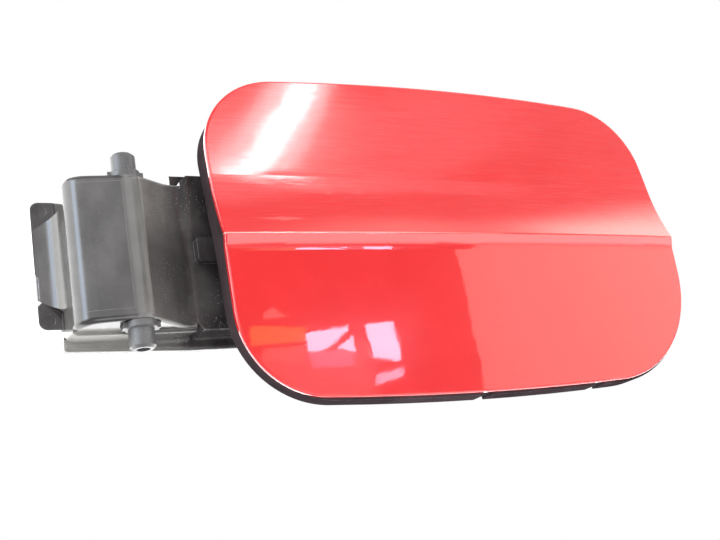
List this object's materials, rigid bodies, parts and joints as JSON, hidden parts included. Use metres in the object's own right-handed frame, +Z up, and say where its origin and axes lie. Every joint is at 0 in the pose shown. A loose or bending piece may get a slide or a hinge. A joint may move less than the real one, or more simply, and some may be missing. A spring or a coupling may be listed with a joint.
{
  "type": "car fuel door",
  "caption": "Bowed, creased red fuel door on a dark inner carrier, with a gooseneck hinge arm that turns on collared pivot pegs and closes by a torsion spring.",
  "frame": {"origin": "on the hinge axis, at the shoulder of the lower pivot peg", "axes": "+Z up along the hinge axis, +X from the hinge to the free edge of the door, -Y out of the car"},
  "size_m": [0.2579, 0.0371, 0.1265],
  "materials": {
    "paint": "glossy red paint with fine swirl scratches",
    "carrier": "semi-matte black moulding",
    "arm": "glossy black moulding with dust specks",
    "rod": "drawn steel rod",
    "sleeve": "satin dark grey moulding",
    "spring": "bright spring wire",
    "striker": "satin black moulding",
    "screw": "zinc plated",
    "buffer": "matte black rubber"
  },
  "bodies": {
    "axle": {"axle_rod": "rod", "lower_pivot_sleeve": "sleeve", "upper_pivot_sleeve": "sleeve"},
    "door": {"door_panel": "paint", "inner_carrier": "carrier", "hinge_arm": "arm", "torsion_spring": "spring", "latch_striker": "striker", "arm_screw_1": "screw", "arm_screw_2": "screw", "arm_screw_3": "screw", "arm_screw_4": "screw", "striker_screw_1": "screw", "striker_screw_2": "screw", "lower_buffer": "buffer", "upper_buffer": "buffer"}
  },
  "joints": [
    {"name": "door_hinge", "type": "hinge", "parent": "axle", "child": "door", "pos_m": [0, 0, 0], "axis": [0, 0, -1], "range_deg": [0, 100], "stiffness_Nm_per_rad": 0.03, "springref_deg": -22.92, "deforming": ["torsion_spring"]}
  ]
}
